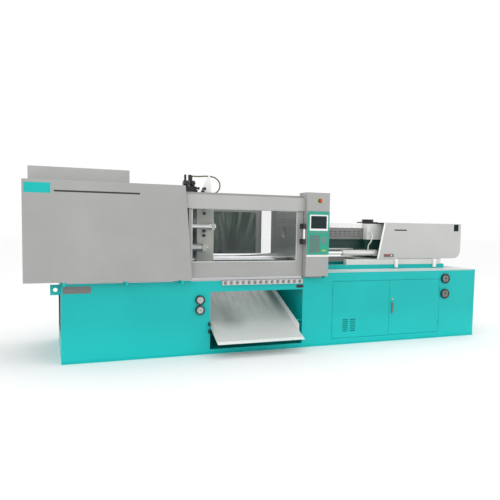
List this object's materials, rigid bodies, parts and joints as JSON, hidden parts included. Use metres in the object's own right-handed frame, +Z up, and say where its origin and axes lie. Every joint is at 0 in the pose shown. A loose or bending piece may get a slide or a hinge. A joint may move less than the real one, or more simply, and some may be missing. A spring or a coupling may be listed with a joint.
{
  "type": "injection moulding machine",
  "caption": "Horizontal injection moulding machine with a sliding front gate, guarded hydraulic clamp, control column, product chute and covered injection unit on a long steel bed.",
  "frame": {"origin": "on the floor under the middle of the bed's footprint", "axes": "+X from the clamp end to the injection end, +Y away from the operator, +Z up"},
  "size_m": [6.565, 1.934, 2.342],
  "materials": {
    "teal_paint": "semi-gloss stoved enamel",
    "grey_paint": "satin enamel on folded sheet",
    "pale_paint": "satin enamel",
    "platen_paint": "painted casting with machined faces",
    "hard_chrome": "ground and hard chromed",
    "machined_steel": "machined",
    "dark_steel": "blacked steel",
    "stainless": "brushed stainless sheet",
    "clear_pane": "clear polycarbonate",
    "black_plastic": "moulded",
    "panel_plastic": "printed membrane",
    "gauge_metal": "pale dial under a clear face",
    "red_plastic": "moulded",
    "motor_paint": "painted casting",
    "hose_rubber": "braided hose"
  },
  "bodies": {
    "frame": {"bed_sole": "teal_paint", "bed_front_wall": "teal_paint", "bed_rear_and_ends": "teal_paint", "bed_bulkheads": "teal_paint", "clamp_deck": "teal_paint", "injection_deck": "pale_paint", "carriage_rails": "teal_paint", "stationary_platen": "platen_paint", "cylinder_platen": "platen_paint", "tie_bars": "hard_chrome", "tie_bar_nuts": "machined_steel", "clamp_cylinder": "platen_paint", "traverse_cylinders": "dark_steel", "clamp_guard_front": "grey_paint", "clamp_guard_rear": "grey_paint", "clamp_guard_roof": "grey_paint", "guard_frame": "teal_paint", "gate_headers": "grey_paint", "gate_rails": "machined_steel", "control_column": "grey_paint", "control_panel": "panel_plastic", "water_manifold": "stainless", "pressure_gauges": "gauge_metal", "round_vents": "black_plastic", "product_chute": "stainless", "oil_tank": "teal_paint", "motor_pump_set": "motor_paint", "electrical_panel": "stainless", "carriage_cylinder_rods": "hard_chrome"},
    "clamp": {"moving_platen": "platen_paint", "clamp_ram": "hard_chrome", "traverse_rods": "hard_chrome", "safety_bar": "hard_chrome", "ejector_cylinders": "dark_steel", "valve_block": "dark_steel", "platen_hose": "hose_rubber"},
    "ejector": {"ejector_rods": "hard_chrome"},
    "gate_front": {"front_gate": "grey_paint", "front_gate_pane": "clear_pane", "front_gate_handle": "black_plastic"},
    "gate_rear": {"rear_gate": "grey_paint", "rear_gate_pane": "clear_pane"},
    "door_left": {"cabinet_door_left": "teal_paint"},
    "door_right": {"cabinet_door_right": "teal_paint"},
    "lock": {"door_lock": "dark_steel"},
    "estop": {"estop_button": "red_plastic"},
    "carriage": {"carriage_base": "grey_paint", "barrel_housing": "pale_paint", "barrel": "machined_steel", "heater_bands": "dark_steel", "barrel_cover": "grey_paint", "injection_cylinders": "dark_steel", "carriage_cylinders": "dark_steel", "carriage_hose": "hose_rubber", "injection_cover": "pale_paint", "hopper_flange": "machined_steel"},
    "injection": {"drive_block": "machined_steel", "screw_motor": "dark_steel"},
    "screw": {"screw": "hard_chrome"},
    "coupling": {"pump_coupling": "machined_steel"}
  },
  "joints": [
    {"name": "clamp_slide", "type": "slide", "parent": "frame", "child": "clamp", "axis": [1, 0, 0], "range_m": [0, 0.9]},
    {"name": "ejector_slide", "type": "slide", "parent": "clamp", "child": "ejector", "axis": [1, 0, 0], "range_m": [0, 0.15]},
    {"name": "front_gate_slide", "type": "slide", "parent": "frame", "child": "gate_front", "axis": [-1, 0, 0], "range_m": [0, 1.4]},
    {"name": "rear_gate_slide", "type": "slide", "parent": "frame", "child": "gate_rear", "axis": [-1, 0, 0], "range_m": [0, 1.4]},
    {"name": "left_door_hinge", "type": "hinge", "parent": "frame", "child": "door_left", "pos_m": [0.532, -0.756, 0.5], "axis": [0, 0, -1], "range_deg": [0, 110]},
    {"name": "right_door_hinge", "type": "hinge", "parent": "frame", "child": "door_right", "pos_m": [2.4, -0.756, 0.5], "axis": [0, 0, 1], "range_deg": [0, 110]},
    {"name": "lock_turn", "type": "hinge", "parent": "door_right", "child": "lock", "pos_m": [1.54, -0.756, 0.56], "axis": [0, -1, 0], "range_deg": [0, 90]},
    {"name": "estop_press", "type": "slide", "parent": "frame", "child": "estop", "axis": [0, 1, 0], "range_m": [0, 0.006]},
    {"name": "carriage_slide", "type": "slide", "parent": "frame", "child": "carriage", "axis": [1, 0, 0], "range_m": [-0.08, 0.22]},
    {"name": "injection_slide", "type": "slide", "parent": "carriage", "child": "injection", "axis": [1, 0, 0], "range_m": [0, 0.25]},
    {"name": "screw_spin", "type": "hinge", "parent": "injection", "child": "screw", "pos_m": [1.9, 0, 1.58], "axis": [1, 0, 0], "continuous": true},
    {"name": "coupling_spin", "type": "hinge", "parent": "frame", "child": "coupling", "pos_m": [2.08, -0.3, 0.3], "axis": [1, 0, 0], "continuous": true}
  ]
}
